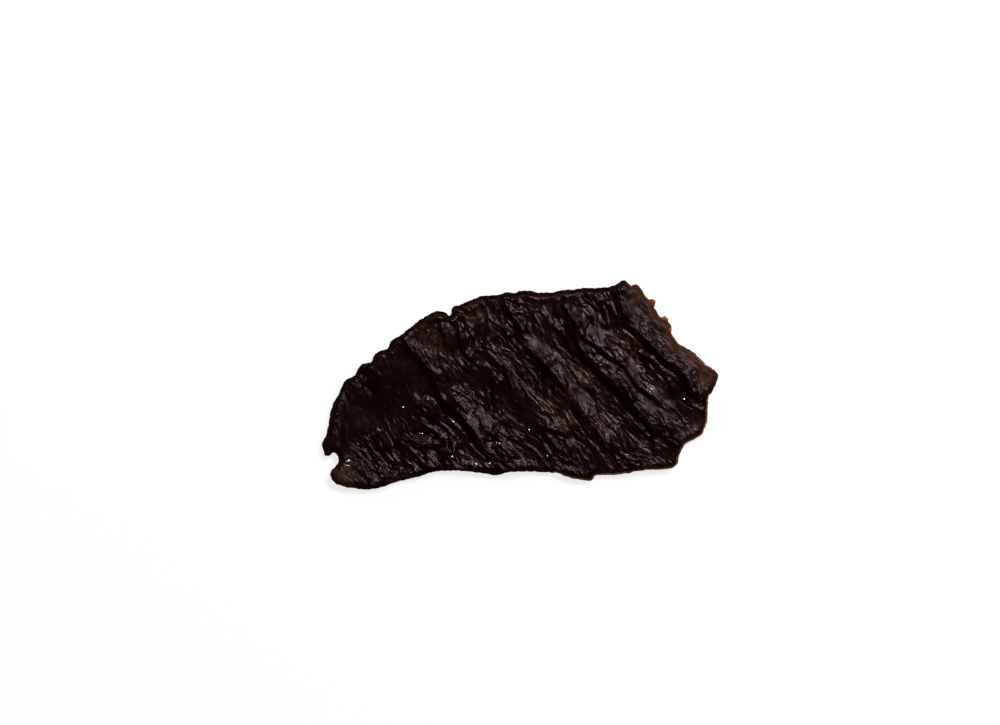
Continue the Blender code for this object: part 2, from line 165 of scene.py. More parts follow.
# Folds that follow or cross the ridges: the line, the height and the width of the gentle side
FOLDS = [
    ([(11.8, 23.3), (16.3, 18.6), (20.2, 14.1), (26.8, 10), (32.2, 5.3), (36.3, -0.5),
     (42.1, -4.8), (46.4, -10.6)], 0.72, 4),
    ([(13, 9), (16.2, 3.7), (19.5, -0.4), (23.2, -3.3), (24.7, -10.1), (29.3, -14.1),
     (32.1, -20.6)], 0.45, 2.1),
    ([(-18.7, 19.7), (-17.3, 11.4), (-13.6, 7), (-7.7, 3.9)], 0.9, 4),
    ([(12.5, -8.4), (16.5, -12.4), (23.3, -16.3), (29.3, -20)], 0.44, 4),
    ([(8.6, 20.3), (11.9, 16.6), (15.2, 12.8), (15.3, 7.7)], 0.9, 4),
    ([(35.5, -6.8), (40.4, -12.9), (41.4, -22.4)], 0.9, 4),
    ([(-15.8, -13.8), (-11.5, -19.5), (-6.8, -24.8)], 0.8, 1.4),
    ([(-23.4, -20.3), (-19.1, -23.9), (-13.9, -26.6), (-9.7, -29.3)], 0.78, 4),
    ([(1.4, -15.7), (7.3, -19.8), (11.6, -24.6), (14.7, -29.5)], 0.43, 4),
    ([(0.3, 12.3), (6.5, 9.3), (7.8, 1.8), (8.9, -5.8)], 0.55, 4),
    ([(36.2, 10.8), (42.3, 5.8), (46.1, -0.4), (48.4, -6.1)], 0.9, 4),
    ([(-50.6, -24.2), (-47.5, -27.2), (-44.1, -30.2), (-40.5, -32.8)], 0.9, 3.5),
    ([(-49.7, -21), (-46.3, -24.5), (-42.7, -28.1), (-39.7, -31.1)], 0.44, 0.8),
]
# Thin lips of skin: the line, the height, and the width of the gentle side
LIPS = [
    ([(-42.7, -13.5), (-41.1, -18.3), (-39.3, -21.3)], 0.9, 2.3),
    ([(-43.2, -14), (-42.7, -16.1), (-42.4, -21)], 0.9, 3.6),
    ([(-43.9, -14.1), (-41.4, -16.5), (-40, -19.5)], 0.9, 2),
    ([(-44.6, -24.1), (-42, -27.7), (-37.2, -29.8)], 0.9, 4),
    ([(-41.7, -30.3), (-35.2, -27.5), (-28, -27.9)], 0.81, 2),
    ([(-31.3, 19.1), (-22, 20.4), (-17.8, 17.8)], 0.8, 4),
    ([(-34, -1.4), (-31.8, -5.6), (-30.7, -11.1)], 0.61, 4),
    ([(-28.2, -4.8), (-26.7, -9.6), (-26, -12.8)], 0.9, 4),
    ([(-30.8, -4.9), (-27.3, -6.9), (-25.8, -8.5)], 0.9, 4),
    ([(-31.4, -5.4), (-28.9, -8.3), (-26.1, -11.7)], 0.9, 4),
    ([(-34.4, -18.5), (-27.1, -18.3), (-21, -22.5)], 0.9, 4),
    ([(-33.4, -18.8), (-26.7, -18.3), (-22.1, -18.3)], 0.9, 4),
    ([(-21.8, 26.7), (-17, 23.5), (-12.5, 21.2)], 0.9, 4),
    ([(-24.6, 19.8), (-22.6, 14.6), (-21.1, 9.4)], 0.9, 4),
    ([(-15.7, 10.7), (-14.9, 9.5), (-16.6, 2.7)], 0.9, 4),
    ([(-21.3, -2.3), (-18.8, -4.8), (-15.8, -9.4)], 0.84, 4),
    ([(-20.6, -6.6), (-17, -10.1), (-13.2, -15.9)], 0.89, 4),
    ([(-15.4, -7.5), (-12, -9.8), (-10.3, -14.7)], 0.58, 4),
    ([(-20.6, -15.9), (-19.9, -21), (-16.8, -29)], 0.9, 4),
    ([(-7.9, 28.3), (-3, 26.5), (2.9, 24.2)], 0.64, 3.9),
    ([(-6.4, 18.2), (-4.7, 17.3), (-2.6, 13.8)], 0.9, 4),
    ([(-5.9, 3.7), (-7.8, -3.7), (-5.3, -8)], 0.9, 4),
    ([(-11.1, -13.5), (-7.9, -15.2), (-6.5, -18.1)], 0.9, 4),
    ([(-8.3, -17.6), (-7, -19.6), (-2.8, -24.4)], 0.8, 4),
    ([(-8.5, -17.9), (-4.8, -21.2), (0.7, -22.6)], 0.78, 2.1),
    ([(-1.7, 13.1), (0.4, 10.8), (1.5, 8)], 0.9, 3.1),
    ([(11, 27.8), (11.5, 26), (11.1, 19.8)], 0.8, 4),
    ([(13.1, 25.4), (16, 20.5), (18, 16.1)], 0.75, 4),
    ([(12.2, 25.3), (16.2, 20.6), (19.2, 15.9)], 0.76, 4),
    ([(8.3, 2), (10.9, -1.5), (10.3, -7.1)], 0.9, 4),
    ([(5.5, -12.6), (11.6, -14), (16, -16.5)], 0.9, 4),
    ([(9.8, -24.1), (13.6, -26.9), (17.8, -29.8)], 0.84, 2.3),
    ([(19.7, 31.5), (22.2, 25.4), (24.6, 21.5)], 0.46, 4),
    ([(22.3, 28.5), (23.8, 25.8), (24.3, 24.1)], 0.64, 4),
    ([(21.2, 18.5), (23.9, 16.1), (28, 9.5)], 0.32, 4),
    ([(20.2, 17.5), (22.6, 14.6), (23.5, 9.6)], 0.59, 4),
    ([(23.7, 12), (26.6, 9), (29.2, 7.4)], 0.75, 4),
    ([(17.8, -1.8), (18.8, -7), (21.4, -11.9)], 0.52, 4),
    ([(22.6, -11.5), (24.7, -15.4), (27.6, -20)], 0.86, 4),
    ([(28.5, 16.4), (34, 14.8), (35.3, 9.8)], 0.67, 4),
    ([(31.4, -0.7), (33.5, -3.1), (34.7, -6.3)], 0.9, 4),
    ([(32.6, -23.8), (34.6, -25.5), (41.3, -24.6)], 0.9, 3.7),
    ([(41.7, -6.3), (44.9, -12), (48.4, -18.6)], 0.61, 3.4),
    ([(37.6, -11), (41.1, -12.7), (44.5, -14.9)], 0.64, 2.6),
    ([(38.8, -11.1), (43.5, -12), (47.9, -14.5)], 0.9, 4),
    ([(36.3, -23), (38.3, -25.1), (43, -24.4)], 0.7, 1.9),
]
# Thin strands, the same way
STRANDS = [
    ([(-10.8, 15.2), (-9, 12), (-6.9, 8.6), (-4.3, 5.4), (-1.6, 2.2), (0.9, -0.6),
     (3.2, -3.6)], 0.3, 0.8),
    ([(-7.4, 11.2), (-5.8, 9), (-4.6, 7.2)], 0.25, 0.7),
    ([(-18.2, 19), (-17, 16.6), (-16, 13.8), (-15.6, 11.2)], 0.25, 0.7),
    ([(-15.9, 17.4), (-14.6, 15), (-13.6, 12.6), (-13.2, 10.5)], 0.25, 0.7),
    ([(-10.3, 21), (-8.6, 19.4), (-6.6, 18.3), (-4.6, 17)], 0.25, 0.7),
    ([(-4.6, 19.6), (-3.2, 18.6), (-2, 17.8)], 0.25, 0.6),
    ([(-4.6, 14.4), (-3.2, 12.4), (-1.8, 10.6), (0.2, 8.8), (2.6, 7.5), (5, 6.3)], 0.25, 0.7),
    ([(-17.4, 8), (-16.2, 6.2), (-15, 4.9)], 0.3, 0.7),
    ([(-17.3, 0.2), (-15.8, -2.2), (-14.2, -4.3), (-12.4, -5.7), (-10.6, -6.5)], 0.35, 0.8),
    ([(-8.8, -11.5), (-6.8, -14), (-5, -15.4), (-3.2, -16.4)], 0.3, 0.7),
    ([(-21.4, -10.4), (-19.8, -12.5), (-18.2, -14.3), (-17, -15.4)], 0.4, 0.8),
    ([(-23.2, -12.5), (-21.4, -14.8), (-19.4, -17), (-17.8, -18.6)], 0.35, 0.8),
    ([(-24, -19.5), (-21.8, -20.8), (-19, -21.8), (-16.2, -22.6), (-14.4, -23.2)], 0.4, 0.9),
    ([(-15.5, -18), (-13.6, -20.4), (-11.5, -22.3), (-9.6, -23.6)], 0.4, 0.8),
    ([(-18.5, -8), (-16.8, -10.4), (-15.6, -12.5), (-14.9, -14.5)], 0.35, 0.8),
    ([(1.6, -0.4), (3.6, -3), (5.6, -5), (7.2, -6.8)], 0.3, 0.8),
    ([(-0.4, 0.2), (2.4, -3.2), (5, -6.2), (7.6, -9.4)], 0.25, 0.7),
    ([(9.2, -8.6), (10.9, -10.5), (12.6, -12.3)], 0.3, 0.8),
    ([(14.6, -7.8), (15.6, -10.2), (17, -12), (18.8, -13.4)], 0.3, 0.8),
    ([(18.4, -14.2), (20.3, -16.6), (22.4, -18.8), (23.6, -19.8)], 0.25, 0.7),
    ([(24.4, -21.2), (25.4, -22.8), (26.4, -24.2)], 0.3, 0.8),
    ([(18.8, 2.2), (20.4, 0.2), (22, -2)], 0.3, 0.8),
    ([(5.6, 22.6), (7.2, 21.3), (8.6, 20.4)], 0.3, 0.9),
    ([(4.2, 18.8), (5.4, 17), (6.2, 15.6)], 0.3, 0.8),
    ([(0.8, 12.4), (2, 11.4), (3, 10.3)], 0.3, 0.8),
    ([(28.6, 4.4), (30, 2.6), (31.6, 0.8), (33, -0.8)], 0.25, 0.7),
    ([(27.6, 2.4), (29, 0.2), (30, -1.8), (31.2, -3)], 0.25, 0.7),
    ([(38.2, 3.2), (39.4, 1.9), (40.4, 0.8)], 0.25, 0.7),
    ([(24, -6.4), (26, -8.6), (28, -10.6), (30, -12.8)], 0.25, 0.7),
    ([(31.6, -13.4), (33, -15.4), (34.6, -17), (36.5, -18.3)], 0.3, 0.8),
    ([(32.6, -9), (35, -12), (38, -15), (40.4, -17.6), (42, -19.4)], 0.2, 0.6),
    ([(28.4, -23.6), (31, -22.6), (34.6, -22.9), (37.6, -22), (41, -23.6)], 0.25, 0.7),
    ([(30, -25.2), (33.6, -23.8), (37.4, -23.4), (40, -23.9)], 0.25, 0.7),
    ([(53.2, 1.6), (53.6, 0), (54.6, -2.6), (54.9, -5.6)], 0.3, 0.8),
    ([(48, -16), (48.6, -17.6), (49, -19)], 0.3, 0.8),
]
# Hollows in the upper face: centre, radius and depth
HOLLOWS = [
    ((-25.3, -18.6), 2.2, 1.12),
    ((15.5, 22.5), 2.6, 1),
    ((-40, -11), 5.0, 1.12),
    ((0, -7), 4.5, 0.75),
    ((-13, 7), 1.4, 0.62),
]
# Where the ends curl up: centre, radius and height
CURLS = [((-38, 16), 26, 2.7), ((60, 4), 24, 2.1), ((46, -27), 16, 0.9), ((-58, -30), 14, 1.0)]

# Stretches where the skin stayed taut and smooth: centre and radius
TAUT = [
    ((6.5, 10.5), 4.0), ((-10.5, -9.5), 2.6), ((23, 16), 3.0), ((34, 3.5), 3.5), ((40, -6), 3.5),
    ((18, -4.5), 2.5), ((34.5, 24), 2.5), ((-30, -16), 2.0), ((26, -10), 2.0), ((8, 26), 4.0),
    ((-48, -10), 9.0), ((-3, -4), 3.5), ((2.5, -10.5), 4.0), ((20, -12.5), 2.0), ((28, -1), 2.5),
    ((35, 13), 2.0), ((-13, 7), 2.5), ((16.5, 22), 2.5), ((-25, -19.5), 1.8),
    ((-36, 4), 9.0), ((46, -3), 3.0), ((-12, 1), 3.5), ((52, 8), 2.5), ((56.5, 3.5), 3.0),
    ((54.5, -11.5), 2.5), ((41, 22.5), 1.8), ((46, 15), 1.6),
]
# Patches where the flesh shows paler through the skin: centre, radius and strength
OCHRE = [
    ((20.3, 2.5), 2.4, 1.0), ((9, -6), 1.8, 0.8), ((13.5, -11.5), 2.0, 0.8),
    ((-13.6, 21), 1.9, 1.2), ((-0.8, -14.8), 1.4, 0.7), ((34, 11), 3.5, 0.5),
    ((42.5, -0.5), 2.6, 0.6), ((46.5, -6), 2.4, 0.4), ((13, 9), 2.0, 0.5),
    ((-27, 14), 3.0, 0.7), ((-30.5, 18.3), 2.0, 0.7), ((-52, -29.5), 1.6, 0.3),
    ((57, 3.5), 2.6, 0.6), ((15.5, -3.2), 1.6, 0.5), ((24.5, -4), 1.4, 0.4),
    ((-4, -10), 1.6, 0.4), ((30, 14.5), 2.0, 0.4), ((24, -12.5), 2.0, 0.35),
]
# The thin brown flange along the right end: its line and half width
FLANGE = ([(35.5, 29.5), (40, 24), (45, 17.3), (49.5, 11.2), (56, 6)], 2.8)
# Thin lobes that show brown: centre, radius and strength
BROWN_LOBES = [
    ((-53.6, -28), 3.3, 0.75), ((57, 2.5), 3.2, 0.75), ((54, -11), 2.2, 0.35), ((36.8, 27.2), 2.2, 1.0),
    ((40.2, 21.8), 2.0, 1.0), ((43.6, 17.4), 1.6, 0.8), ((50.5, -15.5), 2.0, 0.35),
]
# Where light shining through the thin edge is painted on as an amber glow: the line along it and half
# width
BACKLIT_GLOW_LINE = (
    [(56, 7), (60, 2.5), (57, -4), (57, -10), (55.5, -15), (50, -18.5), (47.5, -24.5), (44, -26),
     (30, -27.6), (14, -28.2)],
    3.0,
)
# Crumbs that show rust red: centre and radius
RUST = [((40.4, 25.1), 1.1), ((44.4, 20.3), 1.1), ((45.9, 16.8), 0.8)]
# Small wet spots that catch the light: centre and radius
WET_SPOTS = [
    ((2.7, -13.8), 0.75), ((-6.2, -17.9), 0.62), ((-20.3, -11.5), 0.77), ((-20.6, -22), 0.84),
    ((-13.3, -24.5), 0.7), ((-9, -24.2), 0.73), ((8.3, -22), 0.78), ((14, 27.0), 0.75),
    ((-35.7, -7), 0.7), ((-42.9, -13.9), 0.67), ((-29.8, -15), 0.75), ((-52.2, -23.4), 0.85),
    ((-52.5, -24.8), 0.8), ((53, 3.8), 0.75), ((50, -4.5), 0.85),
]
SPOT_LEAN = (0.14, 0.292)  # how fast a wet spot at the middle falls to the right and upwards
SPOT_LEAN_CHANGE = 0.001  # how much less it falls with each millimetre away in that direction
SPOT_CURVE = 9.0  # radius of its gentle dome

# Where the wrinkles turn away from the run of the ridges: centre, radius and turn
TWISTS = [
    ((-16, 16), 8.0, math.radians(-38)),
    ((18, 23), 5.0, math.radians(50)),
    ((52.5, -2), 5.5, math.radians(-38)),
    ((35, -23.5), 6.0, math.radians(40)),
    ((-12, 24), 5.0, math.radians(25)),
]

# The wrinkles: spacing across and along the ridges, half width of a lip as a share of the
# spacing, and its height
PLEAT = (3.4, 13.0, 0.2, 0.39)
STRAND = (1.9, 6.0, 0.17, 0.255)
WRINKLE = (0.98, 4.2, 0.22, 0.25)
PUCKER = (0.66, 2.0, 0.26, 0.18)
# Their bends: over what distance across and along the ridges, and how far they stray
SWAY = (4.2, 6.5, 0.9)
SMALL_SWAY = (1.5, 3.1, 0.35)
BREAKS = (3.0, 5.0, 1.6)
# The patches where wrinkles, strands and pleats are strong: their size and contrast
WRINKLED_PATCHES = (6.5, 1.7)
STRANDED_PATCHES = (8, 1.7)
PLEATED_PATCHES = (11, 1.6)
DRY_HEIGHT = 0.8  # height from which a ridge's skin is dried hard
LOW_HEIGHT = 0.5  # height under which the skin lies low
CRIMPED_BORDER = (4, 2, 0.6)  # how far in the edge is crimped, how softly that ends, and how much

# What each point of the mesh notes about the skin there
MARKS = (
    "wrinkled", "taut", "across", "along", "low", "inward", "ochre", "flange", "backlit_glow", "rust", "wet",
)

# The headings of the slopes in the two noises
SOFT_TURNS = np.random.default_rng(7).uniform(0, 2 * math.pi, (64, 64))
FINE_TURNS = np.random.default_rng(11).uniform(0, 2 * math.pi, (256, 256))


def smoothstep(t):
    t = np.clip(t, 0, 1)
    return t * t * (3 - 2 * t)


def gradient_noise(x, y, turns):
    """Gradient noise on a lattice of one, from about -0.7 to 0.7."""
    cells = len(turns)
    column, row = np.floor(x).astype(int), np.floor(y).astype(int)
    u, v = x - column, y - row

    def pull(right, up):
        turn = turns[(column + right) % cells, (row + up) % cells]
        return np.cos(turn) * (u - right) + np.sin(turn) * (v - up)

    su, sv = smoothstep(u), smoothstep(v)
    low = pull(0, 0) * (1 - su) + pull(1, 0) * su
    high = pull(0, 1) * (1 - su) + pull(1, 1) * su
    return low * (1 - sv) + high * sv


def soft_noise(x, y):
    return gradient_noise(x, y, SOFT_TURNS)


def fine_noise(x, y):
    return gradient_noise(x, y, FINE_TURNS)


def uneven(patch, x, y, right=0, up=0, noise=soft_noise):
    """Unevenness of a given size and strength, from another part of the noise for each shift."""
    size, much = patch
    return much * noise(x / size + right, y / size + up)


def flowing_line(points, step, closed=False):
    """Points about a step apart on a smooth line through the given points, which it keeps."""
    given = np.array(points, float)
    spans = len(given) if closed else len(given) - 1
    before = np.roll(given, 1, 0)
    after = np.roll(given, -1, 0)
    if not closed:
        before[0], after[-1] = given[0], given[-1]
    headings = after - before
    headings /= np.linalg.norm(headings, axis=1)[:, None]
    line = []
    for i in range(spans):
        j = (i + 1) % len(given)
        length = np.linalg.norm(given[j] - given[i])
        pieces = max(1, round(length / step))
        for k in range(pieces):
            t = k / pieces
            ease = t * t * (3 - 2 * t)
            leave = t * (1 - t) ** 2 * length * headings[i]
            arrive = t * t * (t - 1) * length * headings[j]
            line.append(given[i] * (1 - ease) + given[j] * ease + leave + arrive)
    if not closed:
        line.append(given[-1])
    return np.array(line)


def offset_from(line, x, y):
    """Distance of each place from a line, negative on its lower left, and the share of it passed."""
    nearest = np.full(x.shape, np.inf)
    side = np.zeros(x.shape)
    passed = np.zeros(x.shape)
    for k, (a, b) in enumerate(zip(line[:-1], line[1:])):
        run = b - a
        t = np.clip(((x - a[0]) * run[0] + (y - a[1]) * run[1]) / (run @ run), 0, 1)
        gap_x, gap_y = x - a[0] - t * run[0], y - a[1] - t * run[1]
        gap = np.hypot(gap_x, gap_y)
        closer = gap < nearest
        nearest[closer] = gap[closer]
        side[closer] = np.where(gap_x + gap_y < 0, -1, 1)[closer]
        passed[closer] = ((k + t) / (len(line) - 1))[closer]
    return nearest * side, passed


def fall(s, steep, gentle):
    """How far a fold has fallen at a distance from its crest: steeply below zero, and above zero
    at a slope that eases off."""
    return np.where(s < 0, smoothstep(-s / steep), 1 - (1 - np.clip(s / gentle, 0, 1)) ** EASE)


def along_line(passed, values):
    """Values at even steps along a line, at the given shares of it."""
    return np.interp(passed, np.linspace(0, 1, len(values)), values)


class Flow:
    """The run of the ridges over some places: how high they stand there, and how far across and
    along them each place lies."""

    def __init__(self, x, y):
        self.x, self.y = x, y
        total = np.zeros(x.shape)
        offsets = []
        for k, (crest, heights, widths) in enumerate(RIDGES):
            s, passed = offset_from(flowing_line(crest, LINE_STEP), x, y)
            s = s + uneven(WANDER, x, y, 5 * k) + uneven(SMALL_WANDER, x, y, 5 * k, noise=fine_noise)
            offsets.append(s)
            spread = 1 + uneven(SPREAD_CHANGE, x, y, 3 * k, 7)
            flank = fall(s / spread, STEEP, along_line(passed, widths))
            tall = along_line(passed, heights)
            tall *= 1 + uneven(HEIGHT_CHANGE, x, y, 11, 4 * k)
            total += (tall * (1 - flank)) ** 3
        self.height = total ** (1 / 3)
        self.across = self.ridge_count(np.array(offsets)) * WIRE_GAP
        self.along = math.cos(WIRE_ANGLE) * x + math.sin(WIRE_ANGLE) * y
        for (cx, cy), radius, turn in TWISTS:
            self.twist(x - cx, y - cy, radius, turn)

    def twist(self, gap_x, gap_y, radius, turn):
        """Turns what follows the ridges about one place, less and less away from it."""
        across = -math.sin(WIRE_ANGLE) * gap_x + math.cos(WIRE_ANGLE) * gap_y
        along = math.cos(WIRE_ANGLE) * gap_x + math.sin(WIRE_ANGLE) * gap_y
        angle = turn * np.exp(-(gap_x**2 + gap_y**2) / radius**2)
        self.across += across * np.cos(angle) - along * np.sin(angle) - across
        self.along += across * np.sin(angle) + along * np.cos(angle) - along

    def ridge_count(self, offsets):
        """Counts ridges from the left, with the share of the gap passed as its fraction."""
        offsets = offsets[::-1]
        last = len(offsets) - 1
        count = np.where(offsets[0] < 0, offsets[0] / WIRE_GAP, last + offsets[last] / WIRE_GAP)
        for k in range(last):
            between = (offsets[k] >= 0) & (offsets[k + 1] < 0)
            share = offsets[k] / (offsets[k] - offsets[k + 1] + 1e-9)
            count = np.where(between, k + share, count)
        return count


def fold_height(lines, x, y, ends):
    """Height of folds of skin, each fading out over a share of its length at both ends."""
    total = np.zeros(x.shape)
    for line, height, gentle in lines:
        s, passed = offset_from(flowing_line(line, LINE_STEP), x, y)
        fade = smoothstep(passed / ends) * smoothstep((1 - passed) / ends)
        flank = fall(s, LEAN * gentle, gentle)
        total += height * fade * (1 - flank)
    return total


def hollow_depth(x, y):
    total = np.zeros(x.shape)
    for (cx, cy), radius, depth in HOLLOWS:
        total += depth * np.exp(-((x - cx) ** 2 + (y - cy) ** 2) / radius**2)
    return total


def level_wet_spots(x, y, high):
    """Evens out the wet spots of the upper face, and returns how wet each place is."""
    wet = np.zeros(x.shape)
    for (cx, cy), radius in WET_SPOTS:
        gap_x, gap_y = x - cx, y - cy
        square = gap_x**2 + gap_y**2
        share = smoothstep(2 * (1 - square / radius**2))
        fall_x, fall_y = SPOT_LEAN[0] - SPOT_LEAN_CHANGE * cx, SPOT_LEAN[1] - SPOT_LEAN_CHANGE * cy
        level = high[np.argmin(square)] - fall_x * gap_x - fall_y * gap_y
        high += share * (level - square / (2 * SPOT_CURVE) - high)
        wet = np.maximum(wet, share)
    return wet


def curl_height(x, y):
    total = np.zeros(x.shape)
    for (cx, cy), radius, lift in CURLS:
        total += lift * smoothstep(1 - np.hypot(x - cx, y - cy) / radius)
    return total


def sway(kind, a, b, right=0, up=0):
    """How far something strays that bends as it runs across and along the ridges."""
    across, along, much = kind
    return much * fine_noise(a / across + right, b / along + up)


def bent(flow, seed):
    """Places along and across the ridges, shifted so that what follows them waves and branches."""
    a, b = flow.across + 31 * seed, flow.along
    bent_a = a + sway(SWAY, a, b, 0, seed) + sway(SMALL_SWAY, a, b)
    return bent_a, b + sway(BREAKS, a, b, 40)


def lips(flow, seed, kind):
    """Height of thin lips of skin that wander along the ridges, with flat skin between them."""
    spacing, length, width, height = kind
    a, b = bent(flow, seed)
    return height * np.exp(-((fine_noise(a / spacing, b / length + 7 * seed) / width) ** 2))


def slab_levels(x, y, inward):
    """Heights of the underside and the upper face at places that lie inward of the edge, and what
    the skin is like there."""
    flow = Flow(x, y)
    rise = np.clip(inward / RIM_TAPER, 0, 1)
    fullness = np.sqrt(1 - (1 - rise) ** 2)
    flesh = FLESH + sum(uneven(patch, x, y) for patch in THICK_PATCHES)
    thinning = (flesh - RIM_HEIGHT) * (1 - fullness)
    low = UNDER_SHARE * flow.height + uneven(UNDER_PATCHES, x, y) * smoothstep(flow.height)
    low += curl_height(x, y) + RIM_LIFT * thinning - CONTACT_DEPTH
    detail = (fold_height(FOLDS, x, y, FOLD_ENDS) - hollow_depth(x, y)) * fullness
    high = low + (1 - UNDER_SHARE) * flow.height + flesh - thinning + detail

    taut = patches([(centre, radius, 1) for centre, radius in TAUT], x, y)
    patchy = smoothstep(0.5 + uneven(WRINKLED_PATCHES, x, y, 60, noise=fine_noise))
    stranded = smoothstep(0.55 + uneven(STRANDED_PATCHES, x, y, 20, 50, fine_noise))
    pleated = smoothstep(0.5 + uneven(PLEATED_PATCHES, x, y, 3, 30, fine_noise))
    dry = smoothstep(flow.height / DRY_HEIGHT)
    width, softness, much = CRIMPED_BORDER
    crimped = much * smoothstep((width - inward) / softness)
    wrinkled = np.maximum((0.22 + 0.78 * patchy) * (0.7 + 0.3 * dry), crimped) * (1 - 0.75 * taut)
    high += lips(flow, 5, PLEAT) * (0.25 + 0.75 * pleated) * (1 - 0.8 * taut) * fullness
    high += lips(flow, 1, STRAND) * (0.3 + 0.7 * stranded) * (1 - 0.65 * taut) * fullness
    high += (lips(flow, 0, WRINKLE) + lips(flow, 2, PUCKER)) * wrinkled
    high += (fold_height(LIPS, x, y, LIP_ENDS) + fold_height(STRANDS, x, y, STRAND_ENDS)) * fullness
    wet = level_wet_spots(x, y, high)
    start, rise = UNDER_WRINKLES
    raised = smoothstep((low - start) / rise)
    low_skin = lips(flow, 3, STRAND) + lips(flow, 4, WRINKLE)
    under = np.maximum(low - raised * low_skin, 0)
    marks = {
        "wrinkled": wrinkled,
        "taut": taut,
        "across": flow.across,
        "along": flow.along,
        "low": 1 - smoothstep(flow.height / LOW_HEIGHT),
        "wet": wet,
    }
    return under, np.maximum(high, under + THINNEST), marks


def torn_edge():
    """The outline, with the small nicks of torn flesh."""
    ring = flowing_line(UPPER_EDGE + RIGHT_END + LOWER_EDGE + LEFT_END, EDGE_STEP, closed=True)
    after = np.roll(ring, -1, 0) - np.roll(ring, 1, 0)
    outward = np.stack([-after[:, 1], after[:, 0]], 1) / np.linalg.norm(after, axis=1)[:, None]
    x, y = ring[:, 0], ring[:, 1]
    nicks = uneven(NICKS, x, y, noise=fine_noise) + uneven(SMALL_NICKS, x, y, 9, noise=fine_noise)
    return ring + outward * nicks[:, None]


def is_inside(ring, x, y):
    inside = np.zeros(x.shape, bool)
    for a, b in zip(ring, np.roll(ring, -1, 0)):
        crosses = (a[1] > y) != (b[1] > y)
        if crosses.any():
            inside[crosses] ^= x[crosses] < a[0] + (b[0] - a[0]) * (y[crosses] - a[1]) / (b[1] - a[1])
    return inside


def ring_tree(ring):
    tree = KDTree(len(ring))
    for k, (px, py) in enumerate(ring):
        tree.insert((px, py, 0), k)
    tree.balance()
    return tree


def flat_slab(ring, tree):
    """A flat sheet of cells that run along the ridges and end on the torn edge."""
    bm = bmesh.new()
    columns, rows = round(GRID_SPAN / CELL_ALONG), round(GRID_SPAN / CELL_ACROSS)
    bmesh.ops.create_grid(bm, x_segments=columns, y_segments=rows, size=GRID_SPAN / 2)
    bmesh.ops.rotate(bm, verts=bm.verts[:], matrix=Matrix.Rotation(WIRE_ANGLE, 3, "Z"))
    x, y = places(bm.verts)
    reach = max(CELL_ALONG, CELL_ACROSS)
    inside = is_inside(ring[::4], x, y)  # a coarser ring is exact enough for this
    clear = np.zeros(len(x))
    for k in np.flatnonzero(inside):
        clear[k] = tree.find((x[k], y[k], 0))[2]
    outside = [v for v, gap in zip(bm.verts, clear) if gap < EDGE_CLEARANCE * reach]
    bmesh.ops.delete(bm, geom=outside, context="VERTS")
    keep_largest(bm)
    settle_on_edge(bm, ring, tree)
    return bm


def places(verts):
    flat = np.array([v.co[:2] for v in verts])
    return flat[:, 0], flat[:, 1]


def keep_largest(bm):
    """Drops loose cells, and points that hang on by a corner."""
    while True:
        weak = [v for v in bm.verts if not v.link_faces or sum(e.is_boundary for e in v.link_edges) > 2]
        if not weak:
            break
        bmesh.ops.delete(bm, geom=weak, context="VERTS")
    unseen = set(bm.verts)
    islands = []
    while unseen:
        island, front = set(), [unseen.pop()]
        while front:
            v = front.pop()
            island.add(v)
            for e in v.link_edges:
                other = e.other_vert(v)
                if other in unseen:
                    unseen.discard(other)
                    front.append(other)
        islands.append(island)
    islands.sort(key=len)
    for island in islands[:-1]:
        bmesh.ops.delete(bm, geom=list(island), context="VERTS")


def boundary_walk(bm):
    """The edge points of the sheet, in order."""
    start = next(v for v in bm.verts if v.is_boundary)
    walk = [start]
    came = None
    while True:
        v = walk[-1]
        step = next(e for e in v.link_edges if e.is_boundary and e is not came)
        came = step
        onward = step.other_vert(v)
        if onward is start:
            return walk
        walk.append(onward)


def settle_on_edge(bm, ring, tree):
    """Moves the edge points on to the torn edge, evenly spread, and evens out the cells inside."""
    walk = boundary_walk(bm)
    count = len(ring)
    marks = np.array([tree.find((v.co.x, v.co.y, 0))[1] for v in walk], float)
    steps = np.diff(marks, append=marks[:1])
    steps = (steps + count / 2) % count - count / 2
    marks = marks[0] + np.concatenate([[0], np.cumsum(steps)[:-1]])
    turns = np.sign(steps.sum()) * count
    for _ in range(EDGE_EVENING):
        ahead = np.roll(marks, -1)
        ahead[-1] += turns
        behind = np.roll(marks, 1)
        behind[0] -= turns
        marks = (ahead + behind + 2 * marks) / 4
    for v, mark in zip(walk, marks):
        v.co.xy = ring[round(mark) % count]
    near = set(walk)
    for _ in range(EVENED_RINGS):
        near |= {e.other_vert(v) for v in near for e in v.link_edges}
    inner = [v for v in near if not v.is_boundary]
    for _ in range(EVENING_ROUNDS):
        bmesh.ops.smooth_vert(bm, verts=inner, factor=0.5, use_axis_x=True, use_axis_y=True)


def give_thickness(bm):
    """Raises a copy of the sheet, with finer cells, joined to it by a wall with rows of points.

    Returns the points from the underside to the upper face, level by level.
    """
    made = bmesh.ops.extrude_face_region(bm, geom=bm.faces[:], use_keep_orig=True)
    raised = [g for g in made["geom"] if isinstance(g, bmesh.types.BMVert)]
    bmesh.ops.translate(bm, verts=raised, vec=(0, 0, 1))
    uprights = [e for e in bm.edges if abs(e.verts[0].co.z - e.verts[1].co.z) > 0.5]
    bmesh.ops.subdivide_edges(bm, edges=uprights, cuts=WALL_ROWS)
    top = [e for e in bm.edges if min(e.verts[0].co.z, e.verts[1].co.z) > 0.99]
    bmesh.ops.subdivide_edges(bm, edges=top, cuts=1, use_grid_fill=True)
    levels = [[] for _ in range(WALL_ROWS + 2)]
    for v in bm.verts:
        levels[round(v.co.z * (WALL_ROWS + 1))].append(v)
    return levels


